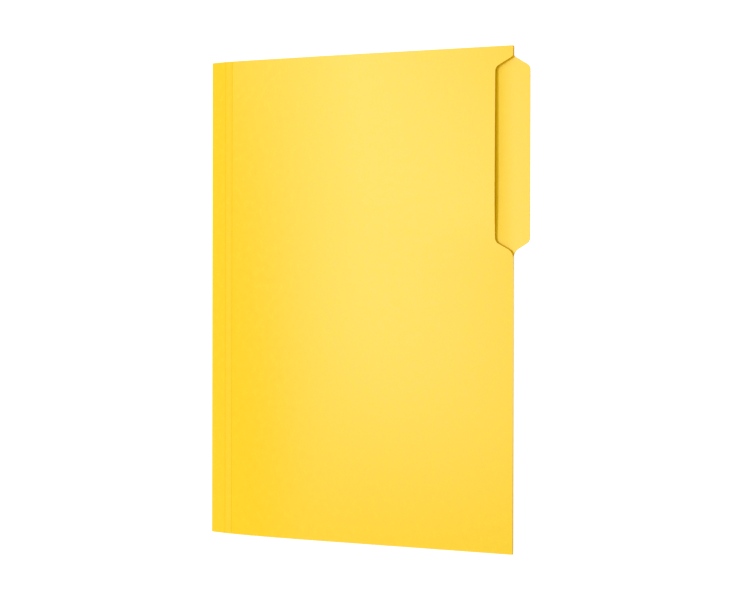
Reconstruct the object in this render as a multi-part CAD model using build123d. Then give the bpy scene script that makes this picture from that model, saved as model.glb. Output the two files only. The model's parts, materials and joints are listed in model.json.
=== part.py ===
from build123d import *
import os
from math import asin, atan2, cos, degrees, hypot, radians, sin

# A letter-size file folder, die-cut from one sheet of card, scored twice beside its fold and folded.
# It lies closed on its rear panel: +X runs from the spine fold to the index tab, +Y along the spine
# towards the end with the tab, +Z up through the cover. The origin is under the middle of the folder.
# Each stretch of the sheet between two creases is a piece of its own. Lengths in mm, angles in degrees.

# The sheet of card
board_thickness = 0.3
spine_length = 298.5

# The spine fold, a half round with its crease along the outermost line
fold_radius = 0.8

# The cover, measured along the sheet from the end of the fold
cover_width = 228.6
inner_strip_width = 13.0
outer_strip_width = 6.0

# The spring of the card at rest: how far each stretch by the fold tilts against the flat of the cover
inner_strip_tilt = 14.0
outer_strip_tilt = 9.5
bow_tilt = 7.0
bow_length = 56.0
free_edge_gap = 1.0

# The pressed score lines, shallow grooves in the outer face
score_groove_width = 1.2
score_groove_depth = 0.12

# The rear panel, from the middle of the fold to its own free edge
rear_width = 227.4

# The die line that makes the index tab on the rear panel and the thumb cut in the cover
tab_depth = 11.3
thumb_cut_depth = 12.2
end_margin = 6.2
slope_length = 6.1
straight_length = 102.6
corner_radius = 4.0
upper_base_radius = 1.5
lower_base_radius = 6.0

# How far the cutting shapes reach past the sheet
cutting_margin = 5.0

# The box of the closed folder is centred on the origin
spine_x = (fold_radius - rear_width - tab_depth) / 2
fold_z = fold_radius
half_length = spine_length / 2


def direction(angle):
    return Vector(cos(radians(angle)), sin(radians(angle)))


def normal(angle):
    return direction(angle + 90)


def mitre(angle_before, angle_after):
    """The step through a crease, per unit of thickness, from the inner face out to the outer face."""
    both = normal(angle_before) + normal(angle_after)
    return both * (1 / normal(angle_before).dot(both))


# The outer face of the cover as a chain of points round the middle of the fold, its flat part level
front_flat_length = cover_width - inner_strip_width - outer_strip_width - bow_length
bow_radius = bow_length / radians(bow_tilt)
inner_mitre = mitre(inner_strip_tilt, outer_strip_tilt)
outer_mitre = mitre(outer_strip_tilt, bow_tilt)
fold_end = normal(inner_strip_tilt) * fold_radius
inner_score = fold_end + direction(inner_strip_tilt) * inner_strip_width
outer_score = inner_score + direction(outer_strip_tilt) * outer_strip_width
bow_centre = outer_score - normal(bow_tilt) * bow_radius
bow_middle = bow_centre + normal(bow_tilt / 2) * bow_radius
bow_end = bow_centre + normal(0) * bow_radius
free_edge = bow_end + direction(0) * front_flat_length

# The whole cover turns about the fold until its free edge stands at its gap over the rear panel
free_edge_inner = free_edge - normal(0) * board_thickness
free_edge_height = board_thickness + free_edge_gap - fold_z
free_edge_reach = hypot(free_edge_inner.X, free_edge_inner.Y)
free_edge_slope = atan2(free_edge_inner.Y, free_edge_inner.X)
cover_turn = degrees(asin(free_edge_height / free_edge_reach) - free_edge_slope)
inner_strip_rise = inner_strip_tilt + cover_turn


def on_folder(point):
    """Where a point of the cover's chain comes to lie, as X and Z of the folder."""
    along = direction(cover_turn) * point.X
    across = normal(cover_turn) * point.Y
    return Vector(spine_x, fold_z) + along + across


def run_along_spine(outline):
    """A stretch of sheet with the given outline in X and Z, as long as the spine."""
    return extrude(Plane.XZ * make_face(outline), amount=half_length, both=True)


def flat_strip(start, end, tilt, start_step, end_step, start_groove, end_groove):
    """A flat stretch between two creases, with half a score groove at each grooved end."""
    corners = []
    if start_groove:
        corners += [start - start_step * score_groove_depth]
    corners += [start + direction(tilt) * start_groove]
    corners += [end - direction(tilt) * end_groove]
    corners += [end - end_step * score_groove_depth]
    corners += [end - end_step * board_thickness]
    corners += [start - start_step * board_thickness]
    return run_along_spine(Polyline(*[on_folder(corner) for corner in corners], close=True))


def die_line(edge_x, depth):
    """The cut along a free edge: straight, out or in by depth beside the tab end, and straight again."""
    slope_start_y = half_length - end_margin
    straight_start_y = slope_start_y - slope_length
    straight_end_y = straight_start_y - straight_length
    slope_end_y = straight_end_y - slope_length
    points = [
        (edge_x, half_length + cutting_margin),
        (edge_x, slope_start_y),
        (edge_x + depth, straight_start_y),
        (edge_x + depth, straight_end_y),
        (edge_x, slope_end_y),
        (edge_x, -half_length - cutting_margin),
    ]
    return FilletPolyline(*points, radius=[upper_base_radius, corner_radius, corner_radius, lower_base_radius])


def beyond_die_line(edge_x, depth, height):
    """Everything past the die line, up to the given height, to be cut off a sheet."""
    cut = die_line(edge_x, depth)
    far_x = edge_x + abs(depth) + cutting_margin
    outside = Polyline(cut @ 0, (far_x, (cut @ 0).Y), (far_x, (cut @ 1).Y), cut @ 1)
    return extrude(make_face([cut, outside]), amount=height)


def fold_sector(start_angle, end_angle):
    """Part of the half-round fold, between two angles around its middle."""
    middle = Vector(spine_x, fold_z)
    inner_radius = fold_radius - board_thickness
    middle_angle = (start_angle + end_angle) / 2
    angles = (start_angle, middle_angle, end_angle)
    outer = ThreePointArc(*[middle + direction(angle) * fold_radius for angle in angles])
    inner = ThreePointArc(*[middle + direction(angle) * inner_radius for angle in angles])
    return run_along_spine([outer, Line(outer @ 1, inner @ 1), inner, Line(inner @ 0, outer @ 0)])


# Angles round the middle of the fold: its outermost line, where it meets the rear panel, and its top
crease_angle = 180
underside_angle = 270
top_angle = 90

# The rear panel lies flat, with the index tab at its free edge and the lower half of the fold at the spine
sheet_middle_x = spine_x + (rear_width + tab_depth + cutting_margin) / 2
rear_sheet = Pos(sheet_middle_x, 0, board_thickness / 2) * Box(
    rear_width + tab_depth + cutting_margin, spine_length, board_thickness
)
rear_panel = rear_sheet - beyond_die_line(spine_x + rear_width, tab_depth, board_thickness)
rear_panel += fold_sector(crease_angle, underside_angle)

# The spine fold carries the sheet on from the crease up to the first strip of the cover
spine_fold = fold_sector(top_angle + inner_strip_rise, crease_angle)

# The two gusset strips lie between the fold and the two score lines
half_groove = score_groove_width / 2
inner_gusset_strip = flat_strip(
    fold_end, inner_score, inner_strip_tilt, normal(inner_strip_tilt), inner_mitre, 0, half_groove
)
outer_gusset_strip = flat_strip(
    inner_score, outer_score, outer_strip_tilt, inner_mitre, outer_mitre, half_groove, half_groove
)

# The front panel bows up from the outer score, runs flat to its free edge and is cut away for the thumb
groove_turn = degrees(half_groove / bow_radius)
groove_end = bow_centre + normal(bow_tilt - groove_turn) * bow_radius
bow_inner_radius = bow_radius - board_thickness
bow_inner_middle = bow_centre + normal(bow_tilt / 2) * bow_inner_radius
bow_inner_end = bow_centre + normal(0) * bow_inner_radius
sheet_end = free_edge + direction(0) * cutting_margin
sheet_end_inner = sheet_end - normal(0) * board_thickness
outer_bow = ThreePointArc(on_folder(groove_end), on_folder(bow_middle), on_folder(bow_end))
front_inner_corner = on_folder(outer_score - outer_mitre * board_thickness)
inner_bow = ThreePointArc(on_folder(bow_inner_end), on_folder(bow_inner_middle), front_inner_corner)
flat_end = Polyline(outer_bow @ 1, on_folder(sheet_end), on_folder(sheet_end_inner), inner_bow @ 0)
crease_end = Polyline(inner_bow @ 1, on_folder(outer_score - outer_mitre * score_groove_depth), outer_bow @ 0)
front_sheet = run_along_spine([outer_bow, flat_end, inner_bow, crease_end])
cover_edge_x = on_folder(free_edge).X
cut_height = on_folder(free_edge).Y + cutting_margin
front_panel = front_sheet - beyond_die_line(cover_edge_x, -thumb_cut_depth, cut_height)

# The creases as hinge lines: opening creases turn on the outer face, the scores on the inner face
spine_crease = Vector(spine_x - fold_radius, fold_z)
fold_crease = on_folder(fold_end)
inner_score_crease = on_folder(inner_score - inner_mitre * board_thickness)
outer_score_crease = front_inner_corner

os.makedirs("parts", exist_ok=True)
export_step(rear_panel, "parts/rear_panel.step")
export_step(spine_fold, "parts/spine_fold.step")
export_step(inner_gusset_strip, "parts/inner_gusset_strip.step")
export_step(outer_gusset_strip, "parts/outer_gusset_strip.step")
export_step(front_panel, "parts/front_panel.step")

creases = {
    "spine crease": spine_crease,
    "fold crease": fold_crease,
    "inner score": inner_score_crease,
    "outer score": outer_score_crease,
}
for name, crease in creases.items():
    print(f"{name}: X {crease.X:.4f}, Z {crease.Y:.4f}")
print(f"inner strip rises {inner_strip_rise:.3f} degrees, free edge of the cover at X {cover_edge_x:.3f}")
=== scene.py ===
import bpy
import json
from math import ceil, cos, pi, radians, sin, tan
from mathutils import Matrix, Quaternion, Vector


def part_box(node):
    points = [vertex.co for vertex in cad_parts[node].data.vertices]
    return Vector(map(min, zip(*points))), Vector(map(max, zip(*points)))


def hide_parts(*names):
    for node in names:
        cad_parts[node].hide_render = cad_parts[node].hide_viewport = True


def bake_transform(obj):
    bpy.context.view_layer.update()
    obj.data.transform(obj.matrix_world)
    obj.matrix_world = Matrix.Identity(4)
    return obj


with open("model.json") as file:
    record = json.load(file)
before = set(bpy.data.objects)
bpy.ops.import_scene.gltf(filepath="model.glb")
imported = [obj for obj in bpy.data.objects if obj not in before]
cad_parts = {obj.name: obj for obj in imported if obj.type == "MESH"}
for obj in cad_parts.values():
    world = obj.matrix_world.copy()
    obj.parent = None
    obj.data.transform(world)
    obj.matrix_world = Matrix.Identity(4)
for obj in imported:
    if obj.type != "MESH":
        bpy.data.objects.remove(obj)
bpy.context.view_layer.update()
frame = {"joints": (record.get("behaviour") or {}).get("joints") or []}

# Rear panel with its index tab
# The back of the folder: a flat stretch of the one sheet of card, dyed yellow right through, that lies on
# the desk. It is die-cut with the tab on its free edge, and at the spine it bends into the rounded fold.
card_thickness = 0.0003
cut_edge_round = 0.00004
creases = {joint["name"]: Vector(joint["pos_m"]) for joint in frame["joints"]}
spine_crease = creases["cover_opening"]
fold_radius = spine_crease.z
fold_middle = spine_crease + Vector((fold_radius, 0, 0))
rear_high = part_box("rear_panel")[1]
half_length = rear_high.y
tab_depth = 0.0113
tab_end_margin = 0.0062
tab_slope = 0.0061
tab_straight = 0.1026
tab_corner_round = 0.004
tab_upper_base_round = 0.0015
tab_lower_base_round = 0.006
shaped_margin = 0.030
row_spacing = 0.008
edge_pace = 0.001
margin_pace = 0.004
fold_pace = 0.0004
panel_pace = 0.016
pace_growth = 1.5
corner_step = radians(6)
fold_step = radians(3)
sharp_angle = radians(12)
upper_fold_sweep = pi / 2 - (creases["gusset_closing"] - fold_middle).angle(Vector((0, 0, 1)))
groove_depth = 0.00012


def along(heading):
    return Vector((cos(heading), 0, sin(heading)))


def paces(length, first, longest):
    """Step lengths that add up to a length: a fine first one, then longer and longer."""
    steps = [first]
    while sum(steps) < length:
        steps.append(min(steps[-1] * pace_growth, longest))
    return [step * length / sum(steps) for step in steps]


def straight(steps):
    return [(step, 0) for step in steps]


def bend(radius, sweep, count):
    """Equal steps round a bend, as chords, with the turn of each."""
    turn = sweep / count
    return [(2 * radius * sin(abs(turn) / 2), turn)] * count


def walk(station, steps):
    """Stations on the outer face of the sheet: a point, a heading and a place in the flat blank."""
    stations = [station]
    for length, turn in steps:
        point, heading, flat = stations[-1]
        stations.append((point + along(heading + turn / 2) * length, heading + turn, flat + length))
    return stations


def rounded_corner(before, corner, after, radius):
    """Points on the round of a die-line corner."""
    back = (before - corner).normalized()
    on = (after - corner).normalized()
    half_angle = back.angle(on) / 2
    middle = corner + (back + on).normalized() * radius / sin(half_angle)
    start = corner + back * radius / tan(half_angle) - middle
    end = corner + on * radius / tan(half_angle) - middle
    sweep = start.angle(end)
    count = ceil(sweep / corner_step)
    shares = [step / count for step in range(count + 1)]
    return [middle + (start * sin((1 - s) * sweep) + end * sin(s * sweep)) / sin(sweep) for s in shares]


def die_cut_rows(depth):
    """Rows across the sheet, as a place along the spine and how far the die line lies out or in there."""
    slope_start = half_length - tab_end_margin
    slope_end = slope_start - tab_slope
    low_slope_start = slope_end - tab_straight
    low_slope_end = low_slope_start - tab_slope
    corners = [(half_length, 0), (slope_start, 0), (slope_end, depth), (low_slope_start, depth)]
    corners += [(low_slope_end, 0), (-half_length, 0)]
    corners = [Vector(corner) for corner in corners]
    rounds = [tab_upper_base_round, tab_corner_round, tab_corner_round, tab_lower_base_round]
    line = [corners[0]]
    for number, radius in enumerate(rounds):
        line += rounded_corner(*corners[number:number + 3], radius)
    line.append(corners[-1])
    rows = [line[0]]
    for start, end in zip(line, line[1:]):
        count = ceil((start - end).x / row_spacing)
        rows += [start.lerp(end, step / count) for step in range(1, count + 1)]
    return rows


def plain_rows():
    count = ceil(2 * half_length / row_spacing)
    return [Vector((half_length * (1 - 2 * step / count), 0)) for step in range(count + 1)]


def unchanged(*place):
    return 0


def card_stretch(
    name, stations, rows, free_end=None, outward=None, pressed=unchanged, rubbed=unchanged, warped=unchanged
):
    """A closed stretch of the folded card with its two faces, its die-cut edges and its plain seams."""
    edge_flat = stations[free_end][2] if free_end is not None else 0
    way = -1 if free_end == 0 else 1
    points, flat_places, wear, press = [], [], [], []
    for side in (0, 1):
        for row in rows:
            for point, heading, flat in stations:
                place = point
                if outward:
                    out = row.y * max(0, 1 - abs(flat - edge_flat) / shaped_margin)
                    place = place + outward * out
                    flat += way * out
                drop = pressed(flat) + side * card_thickness - warped(flat, row.x)
                place = place - along(heading + pi / 2) * drop
                points.append((place.x, row.x, place.z))
                flat_places.append((flat, row.x, side * card_thickness))
                wear.append(rubbed(flat))
                press.append(pressed(flat) / groove_depth)
    count, last_row = len(stations), len(rows) - 1
    last = count - 1
    free = last if free_end == -1 else free_end

    def vertex(side, row, station):
        return (side * len(rows) + row) * count + station

    faces, is_cut = [], []
    for row in range(last_row):
        for station in range(last):
            ring = [(row, station), (row + 1, station), (row + 1, station + 1), (row, station + 1)]
            faces.append([vertex(0, *spot) for spot in ring])
            faces.append([vertex(1, *spot) for spot in reversed(ring)])
            is_cut += [False, False]
        for station, turned in ((0, 1), (last, 0)):
            low, high = (row + 1, row) if turned else (row, row + 1)
            faces.append([vertex(0, low, station), vertex(0, high, station)])
            faces[-1] += [vertex(1, high, station), vertex(1, low, station)]
            is_cut.append(station == free)
    for row, turned in ((0, 0), (last_row, 1)):
        for station in range(last):
            low, high = (station + 1, station) if turned else (station, station + 1)
            faces.append([vertex(0, row, low), vertex(0, row, high)])
            faces[-1] += [vertex(1, row, high), vertex(1, row, low)]
            is_cut.append(True)
    mesh = bpy.data.meshes.new(name)
    mesh.from_pydata(points, [], faces, shade_flat=False)
    mesh.materials.append(yellow_card)
    mesh.materials.append(cut_edge)
    mesh.polygons.foreach_set("material_index", [int(cut) for cut in is_cut])
    flat_place = mesh.attributes.new("flat_place", "FLOAT_VECTOR", "POINT")
    flat_place.data.foreach_set("vector", [value for place in flat_places for value in place])
    mesh.attributes.new("rubbed", "FLOAT", "POINT").data.foreach_set("value", wear)
    # The press depth also darkens the score grooves in the card's colour: crushed card plus painted shade.
    mesh.attributes.new("pressed", "FLOAT", "POINT").data.foreach_set("value", press)
    round_edges = set()
    for side in (0, 1):
        for row in (0, last_row):
            ends = [vertex(side, row, station) for station in range(count)]
            round_edges.update(frozenset(pair) for pair in zip(ends, ends[1:]))
        if free is not None:
            ends = [vertex(side, row, free) for row in range(len(rows))]
            round_edges.update(frozenset(pair) for pair in zip(ends, ends[1:]))
    weights = [float(frozenset(edge.vertices) in round_edges) for edge in mesh.edges]
    mesh.attributes.new("bevel_weight_edge", "FLOAT", "EDGE").data.foreach_set("value", weights)
    piece = bpy.data.objects.new(name, mesh)
    bpy.context.scene.collection.objects.link(piece)
    rounding = piece.modifiers.new("cut_edge_round", "BEVEL")
    rounding.limit_method = "WEIGHT"
    rounding.width = cut_edge_round
    rounding.segments = 2
    rounding.use_clamp_overlap = False
    rounding.material = 1
    shapes = bpy.context.evaluated_depsgraph_get()
    shaped = piece.evaluated_get(shapes)
    piece.data = bpy.data.meshes.new_from_object(shaped, preserve_all_data_layers=True, depsgraph=shapes)
    piece.data.name = name
    piece.modifiers.clear()
    piece.data.set_sharp_from_angle(angle=sharp_angle)
    return piece


def socket_link(material, start, end):
    material.node_tree.links.new(start, end)


# The card is calendered to a satin face, with a cloudy formation and fibres that run along the spine.
# Stray pale fibres lie in it, its creases are rubbed pale, and its scores are crushed dull and darker in
# colour, partly from the crushed card and partly as painted shade in their grooves.
dye_deep = (0.935, 0.597, 0.0023, 1)
dye_pale = (0.960, 0.633, 0.0042, 1)
stray_fibre_yellow = (0.975, 0.700, 0.030, 1)
rubbed_yellow = (0.93, 0.66, 0.10, 1)
# Darker yellow of the score grooves: crushed card and painted shade where the grooves fall in shade.
crushed_and_shaded_yellow = (0.850, 0.515, 0.0010, 1)
yellow_card = bpy.data.materials.new("yellow_card")
yellow_card.use_nodes = True
nodes = yellow_card.node_tree.nodes
card_shader = nodes["Principled BSDF"]
card_shader.inputs["Specular IOR Level"].default_value = 0.2
place = nodes.new("ShaderNodeAttribute")
place.attribute_name = "flat_place"
formation = nodes.new("ShaderNodeTexNoise")
formation.inputs["Scale"].default_value = 210
formation.inputs["Detail"].default_value = 4
grain = nodes.new("ShaderNodeMapping")
grain.inputs["Scale"].default_value = (2600, 420, 2600)
fibres = nodes.new("ShaderNodeTexNoise")
fibres.inputs["Scale"].default_value = 1
fibres.inputs["Detail"].default_value = 3
blotch = nodes.new("ShaderNodeMath")
blotch.operation = "MULTIPLY_ADD"
blotch.inputs[1].default_value = 0.4
dye = nodes.new("ShaderNodeValToRGB")
dye.color_ramp.elements[0].position = 0.45
dye.color_ramp.elements[0].color = dye_deep
dye.color_ramp.elements[1].position = 0.95
dye.color_ramp.elements[1].color = dye_pale
stray_grain = nodes.new("ShaderNodeMapping")
stray_grain.inputs["Scale"].default_value = (5200, 800, 5200)
stray_fibres = nodes.new("ShaderNodeTexNoise")
stray_fibres.inputs["Scale"].default_value = 1
stray_fibres.inputs["Detail"].default_value = 1
stray_fibres.inputs["Distortion"].default_value = 0.8
stray_share = nodes.new("ShaderNodeMapRange")
stray_share.inputs["From Min"].default_value = 0.62
stray_share.inputs["From Max"].default_value = 0.70
stray_share.inputs["To Max"].default_value = 0.5
fibred = nodes.new("ShaderNodeMix")
fibred.data_type = "RGBA"
fibred.inputs["B"].default_value = stray_fibre_yellow
crease_wear = nodes.new("ShaderNodeAttribute")
crease_wear.attribute_name = "rubbed"
wear_patches = nodes.new("ShaderNodeMath")
wear_patches.operation = "MULTIPLY"
worn = nodes.new("ShaderNodeMix")
worn.data_type = "RGBA"
worn.inputs["B"].default_value = rubbed_yellow
polish = nodes.new("ShaderNodeMapRange")
polish.inputs["From Min"].default_value = 0.3
polish.inputs["From Max"].default_value = 0.7
polish.inputs["To Min"].default_value = 0.25
polish.inputs["To Max"].default_value = 0.28
crushed = nodes.new("ShaderNodeAttribute")
crushed.attribute_name = "pressed"
crushed_dull = nodes.new("ShaderNodeMath")
crushed_dull.operation = "MULTIPLY_ADD"
crushed_dull.inputs[1].default_value = 0.7
# Painted shade: the score grooves are darkened by their press depth, partly for the crushed card and partly
# for the shade in them.
crushed_and_shaded_share = nodes.new("ShaderNodeMath")
crushed_and_shaded_share.operation = "MULTIPLY"
crushed_and_shaded_share.inputs[1].default_value = 0.6
crushed_and_shaded = nodes.new("ShaderNodeMix")
crushed_and_shaded.data_type = "RGBA"
crushed_and_shaded.inputs["B"].default_value = crushed_and_shaded_yellow
tooth = nodes.new("ShaderNodeBump")
tooth.inputs["Strength"].default_value = 0.35
tooth.inputs["Distance"].default_value = 0.00002
for start, end in (
    (place.outputs["Vector"], formation.inputs["Vector"]),
    (place.outputs["Vector"], grain.inputs["Vector"]),
    (grain.outputs["Vector"], fibres.inputs["Vector"]),
    (fibres.outputs["Fac"], blotch.inputs[0]),
    (formation.outputs["Fac"], blotch.inputs[2]),
    (blotch.outputs["Value"], dye.inputs["Fac"]),
    (place.outputs["Vector"], stray_grain.inputs["Vector"]),
    (stray_grain.outputs["Vector"], stray_fibres.inputs["Vector"]),
    (stray_fibres.outputs["Fac"], stray_share.inputs["Value"]),
    (stray_share.outputs["Result"], fibred.inputs["Factor"]),
    (dye.outputs["Color"], fibred.inputs["A"]),
    (crease_wear.outputs["Fac"], wear_patches.inputs[0]),
    (fibres.outputs["Fac"], wear_patches.inputs[1]),
    (wear_patches.outputs["Value"], worn.inputs["Factor"]),
    (fibred.outputs["Result"], worn.inputs["A"]),
    (crushed.outputs["Fac"], crushed_and_shaded_share.inputs[0]),
    (crushed_and_shaded_share.outputs["Value"], crushed_and_shaded.inputs["Factor"]),
    (worn.outputs["Result"], crushed_and_shaded.inputs["A"]),
    (crushed_and_shaded.outputs["Result"], card_shader.inputs["Base Color"]),
    (formation.outputs["Fac"], polish.inputs["Value"]),
    (crushed.outputs["Fac"], crushed_dull.inputs[0]),
    (polish.outputs["Result"], crushed_dull.inputs[2]),
    (crushed_dull.outputs["Value"], card_shader.inputs["Roughness"]),
    (fibres.outputs["Fac"], tooth.inputs["Height"]),
    (tooth.outputs["Normal"], card_shader.inputs["Normal"]),
):
    socket_link(yellow_card, start, end)

# The cut edge shows the dull raw fibres of the card
edge_deep = (0.87, 0.53, 0.008, 1)
edge_pale = (0.94, 0.64, 0.05, 1)
cut_edge = bpy.data.materials.new("cut_edge")
cut_edge.use_nodes = True
nodes = cut_edge.node_tree.nodes
edge_shader = nodes["Principled BSDF"]
edge_shader.inputs["Roughness"].default_value = 0.8
edge_shader.inputs["Specular IOR Level"].default_value = 0.2
edge_place = nodes.new("ShaderNodeAttribute")
edge_place.attribute_name = "flat_place"
edge_fibres = nodes.new("ShaderNodeTexNoise")
edge_fibres.inputs["Scale"].default_value = 3000
edge_fibres.inputs["Detail"].default_value = 3
edge_dye = nodes.new("ShaderNodeValToRGB")
edge_dye.color_ramp.elements[0].position = 0.3
edge_dye.color_ramp.elements[0].color = edge_deep
edge_dye.color_ramp.elements[1].position = 0.7
edge_dye.color_ramp.elements[1].color = edge_pale
edge_tooth = nodes.new("ShaderNodeBump")
edge_tooth.inputs["Strength"].default_value = 0.4
edge_tooth.inputs["Distance"].default_value = 0.00003
for start, end in (
    (edge_place.outputs["Vector"], edge_fibres.inputs["Vector"]),
    (edge_fibres.outputs["Fac"], edge_dye.inputs["Fac"]),
    (edge_dye.outputs["Color"], edge_shader.inputs["Base Color"]),
    (edge_fibres.outputs["Fac"], edge_tooth.inputs["Height"]),
    (edge_tooth.outputs["Normal"], edge_shader.inputs["Normal"]),
):
    socket_link(cut_edge, start, end)


def fold_rubbed(flat):
    """The outermost line of the fold is rubbed pale where the folder is handled."""
    return max(0, 1 - abs(flat) / fold_radius)


def eased(place, start, end):
    """0 before a start and 1 after an end, with a smooth rise between."""
    share = min(1, max(0, (place - start) / (end - start)))
    return share * share * (3 - 2 * share)


rear_edge = Vector((rear_high.x - tab_depth, 0, 0))
quarter_fold = fold_radius * pi / 2
rear_width = rear_edge.x - fold_middle.x
tab_flat = -quarter_fold - rear_width - tab_depth
tab_lift = 0.00015
tab_slope_rise = 0.011
margin_bend_lift = 0.00072
margin_bend_start = 0.0106
margin_bend_slant = 0.041
margin_bend_end = 0.030
margin_lift_end = 0.080
margin_lift_fade = (0.0, 0.040)


def rear_warped(flat, along_spine):
    """The margin behind the tab has sprung up a little off the desk, and the tab slopes down from it."""
    inward = flat - tab_flat
    bend_start = margin_bend_start + margin_bend_slant * along_spine
    lift = tab_lift + tab_slope_rise * min(inward, margin_bend_end)
    lift += margin_bend_lift * eased(inward, bend_start, margin_bend_end)
    lift *= 1 - eased(inward, margin_bend_end, margin_lift_end)
    return -lift * eased(along_spine, *margin_lift_fade)


rear_start = (rear_edge, pi, -rear_width - quarter_fold)
rear_steps = straight(paces(shaped_margin, edge_pace, margin_pace))
rear_steps += straight(reversed(paces(rear_width - shaped_margin, fold_pace, panel_pace)))
rear_steps += bend(fold_radius, -pi / 2, ceil(pi / 2 / fold_step))
half_upper_fold = bend(fold_radius, -upper_fold_sweep / 2, ceil(upper_fold_sweep / 2 / fold_step))
rear_stations = walk(rear_start, rear_steps + half_upper_fold)
rear_card = card_stretch(
    "rear_card",
    rear_stations,
    die_cut_rows(tab_depth),
    0,
    Vector((1, 0, 0)),
    rubbed=fold_rubbed,
    warped=rear_warped,
)
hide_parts("rear_panel")
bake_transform(rear_card)

# Upper half of the spine fold
# The same sheet of card going on round the fold and into the first strip of the cover. The card is creased
# where the strip begins, so that the strip can stand up when the folder is filled.
inner_strip_width = 0.013
crease_pace = 0.0001
strip_pace = 0.001
fold_steps = half_upper_fold + straight(paces(inner_strip_width / 2, crease_pace, strip_pace))
fold_stations = walk(rear_stations[-1], fold_steps)
fold_card = card_stretch("fold_card", fold_stations, plain_rows(), rubbed=fold_rubbed)
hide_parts("spine_fold")
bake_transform(fold_card)

# Gusset between the two strips
# The first of two lines pressed into the card beside the spine with a blunt rule, which leaves a shallow
# groove outside and a low bead inside. The card bends along it when the folder is filled.
outer_strip_width = 0.006
groove_width = 0.0012
groove_count = 16
strip_wear = 0.35
inner_score_bend = radians(4.5)
inner_score_flat = fold_stations[-1][2] + inner_strip_width / 2
outer_score_flat = inner_score_flat + outer_strip_width


def score_pressed(flat):
    """How deep the two scores are pressed at a place in the flat blank."""
    depth = 0
    for score_flat in (inner_score_flat, outer_score_flat):
        off = abs(flat - score_flat) / (groove_width / 2)
        if off < 1:
            depth += groove_depth * (1 + cos(pi * off)) / 2
    return depth


def strip_rubbed(flat):
    """The strip between the scores stands proud of them and is rubbed a little pale."""
    off = abs(flat - (inner_score_flat + outer_score_flat) / 2) / (outer_strip_width / 2)
    return strip_wear * max(0, 1 - off)


def score_bend(angle):
    return [(groove_width / groove_count, -angle / groove_count)] * groove_count


inner_half = inner_strip_width / 2 - groove_width / 2
outer_half = outer_strip_width / 2 - groove_width / 2
gusset_steps = straight(reversed(paces(inner_half, crease_pace, strip_pace)))
gusset_steps += score_bend(inner_score_bend)
gusset_steps += straight(paces(outer_half, crease_pace, strip_pace))
gusset_stations = walk(fold_stations[-1], gusset_steps)
gusset_card = card_stretch(
    "gusset_card", gusset_stations, plain_rows(), pressed=score_pressed, rubbed=strip_rubbed
)
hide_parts("inner_gusset_strip")
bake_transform(gusset_card)

# Cover with its thumb cut
# The front of the folder, from the second score to the free edge. The spring of the card bows it up beside
# the score and lets it down to its free edge, which is die-cut with a shallow step for the thumb.
outer_score_bend = radians(2.5)
bow_length = 0.112
bow_bend = radians(7)
bow_fade = 3
bow_pace = 0.002
flat_pace = 0.006
thumb_cut_depth = 0.0122
cover_width = 0.2286
cover_steps = straight(reversed(paces(outer_half, crease_pace, strip_pace)))
cover_steps += score_bend(outer_score_bend)
bow_left = bow_length - groove_width / 2
bow_still_left = 1
bow_gone = 0
for step in paces(bow_left, crease_pace, bow_pace):
    bow_gone += step
    bow_before, bow_still_left = bow_still_left, (1 - bow_gone / bow_left) ** bow_fade
    cover_steps.append((step, bow_bend * (bow_still_left - bow_before)))
flat_width = cover_width - inner_strip_width - outer_strip_width - bow_length
cover_steps += straight(paces(flat_width - shaped_margin, bow_pace, flat_pace))
cover_steps += straight(reversed(paces(shaped_margin, edge_pace, margin_pace)))
cover_stations = walk(gusset_stations[-1], cover_steps)
lift_reach = 0.1536
twist = radians(2.78)
twist_reach = 0.110
twist_still_place = -0.0895
free_edge_lifts = ((0.150, 0.0007), (0.100, 0.0011), (0.060, 0.0013), (0.005, -0.0005), (-0.150, 0))


def cover_warped(flat, along_spine):
    """The free edge stands higher at the thumb cut than in its middle, and the bow is flatter there."""
    share = max(0, 1 - (cover_stations[-1][2] - flat) / lift_reach)
    lift = free_edge_lifts[0][1]
    for (high, high_lift), (low, low_lift) in zip(free_edge_lifts, free_edge_lifts[1:]):
        lift += (low_lift - high_lift) * eased(-along_spine, -high, -low)
    off = flat - outer_score_flat
    slope = twist * (along_spine - twist_still_place) / half_length
    flattened = slope * off * (1 - off / twist_reach) ** 2 if 0 < off < twist_reach else 0
    return share * share * lift - flattened


cover_card = card_stretch(
    "cover_card",
    cover_stations,
    die_cut_rows(-thumb_cut_depth),
    -1,
    along(cover_stations[-1][1]),
    pressed=score_pressed,
    rubbed=strip_rubbed,
    warped=cover_warped,
)
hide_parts("outer_gusset_strip", "front_panel")
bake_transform(cover_card)

# Desk and soft light
# A plain pale table top, one soft lamp from the spine side and even light from all round. The table and
# the room show white, and the table keeps the shadow of the folder.
room_light = 0.785
lamp_place = Vector((-1.286, 0.197, 2.010))
lamp_sizes = (0.97, 0.27)
lamp_roll = radians(25)
lamp_power = 17.5
table_half = 6
table_below = -0.00005
table_white = 0.8
table_glow = 0.6


def seen_white(tree):
    """1 for what the camera sees, directly or in a reflection or glass, and 0 for what only lights."""
    path = tree.nodes.new("ShaderNodeLightPath")
    seen = path.outputs["Is Camera Ray"]
    for ray in ("Is Glossy Ray", "Is Transmission Ray"):
        either = tree.nodes.new("ShaderNodeMath")
        either.operation = "MAXIMUM"
        tree.links.new(seen, either.inputs[0])
        tree.links.new(path.outputs[ray], either.inputs[1])
        seen = either.outputs["Value"]
    return seen


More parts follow.
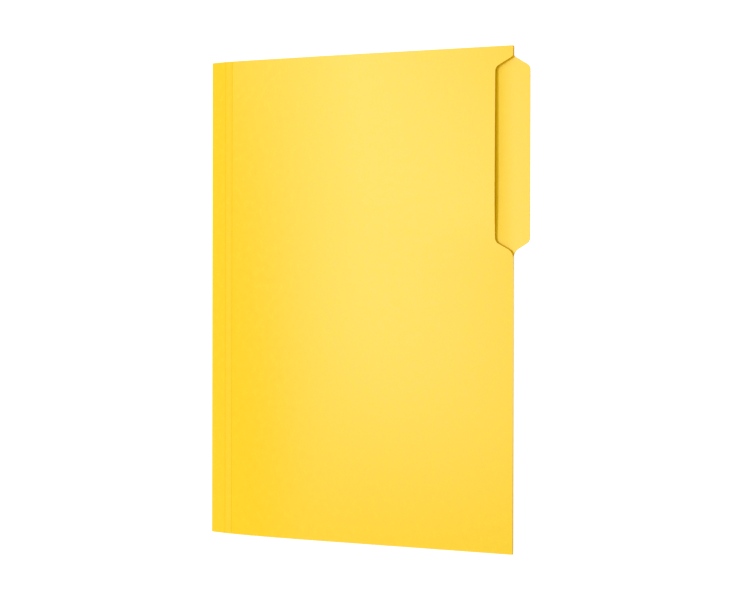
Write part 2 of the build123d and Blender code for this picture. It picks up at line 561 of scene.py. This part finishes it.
table_top = bpy.data.materials.new("table_top")
table_top.use_nodes = True
top_shader = table_top.node_tree.nodes["Principled BSDF"]
top_shader.inputs["Base Color"].default_value = (table_white, table_white, table_white, 1)
top_shader.inputs["Roughness"].default_value = 0.9
top_shader.inputs["Specular IOR Level"].default_value = 0
top_shader.inputs["Emission Color"].default_value = (1, 1, 1, 1)
glow = table_top.node_tree.nodes.new("ShaderNodeMath")
glow.operation = "MULTIPLY"
glow.inputs[1].default_value = table_glow
socket_link(table_top, seen_white(table_top.node_tree), glow.inputs[0])
socket_link(table_top, glow.outputs["Value"], top_shader.inputs["Emission Strength"])
table_mesh = bpy.data.meshes.new("table")
table_corners = [(-table_half, -table_half), (table_half, -table_half), (table_half, table_half)]
table_corners.append((-table_half, table_half))
table_mesh.from_pydata([(x, y, table_below) for x, y in table_corners], [], [(0, 1, 2, 3)])
table_mesh.materials.append(table_top)
table = bpy.data.objects.new("table", table_mesh)
bpy.context.scene.collection.objects.link(table)

room = bpy.data.worlds.new("room")
room.use_nodes = True
bpy.context.scene.world = room
room_tree = room.node_tree
room_white = room_tree.nodes["Background"]
room_white.inputs["Color"].default_value = (1, 1, 1, 1)
level = room_tree.nodes.new("ShaderNodeMath")
level.operation = "MULTIPLY_ADD"
level.inputs[1].default_value = 1 - room_light
level.inputs[2].default_value = room_light
room_tree.links.new(seen_white(room_tree), level.inputs[0])
room_tree.links.new(level.outputs["Value"], room_white.inputs["Strength"])

lamp_light = bpy.data.lights.new("soft_lamp", "AREA")
lamp_light.shape = "RECTANGLE"
lamp_light.size, lamp_light.size_y = lamp_sizes
lamp_light.energy = lamp_power
lamp = bpy.data.objects.new("soft_lamp", lamp_light)
lamp.location = lamp_place
lamp.rotation_mode = "QUATERNION"
aim = (-lamp_place).to_track_quat("-Z", "Y")
lamp.rotation_quaternion = aim @ Quaternion((0, 0, 1), lamp_roll)
lamp.visible_camera = False
bpy.context.scene.collection.objects.link(lamp)

# Camera
# Above the free edge and a long lens away, where the photograph was taken from.
camera_lens = 124.179
camera_place = Vector((0.93515, 0.01520, 1.27417))
camera_turn = (radians(-0.4895), radians(36.0472), radians(0.1445))
camera_data = bpy.data.cameras.new("camera")
camera_data.lens = camera_lens
camera = bpy.data.objects.new("camera", camera_data)
camera.location = camera_place
camera.rotation_euler = camera_turn
bpy.context.scene.collection.objects.link(camera)
bpy.context.scene.camera = camera
bpy.context.scene.view_settings.view_transform = "Standard"

bpy.context.view_layer.update()
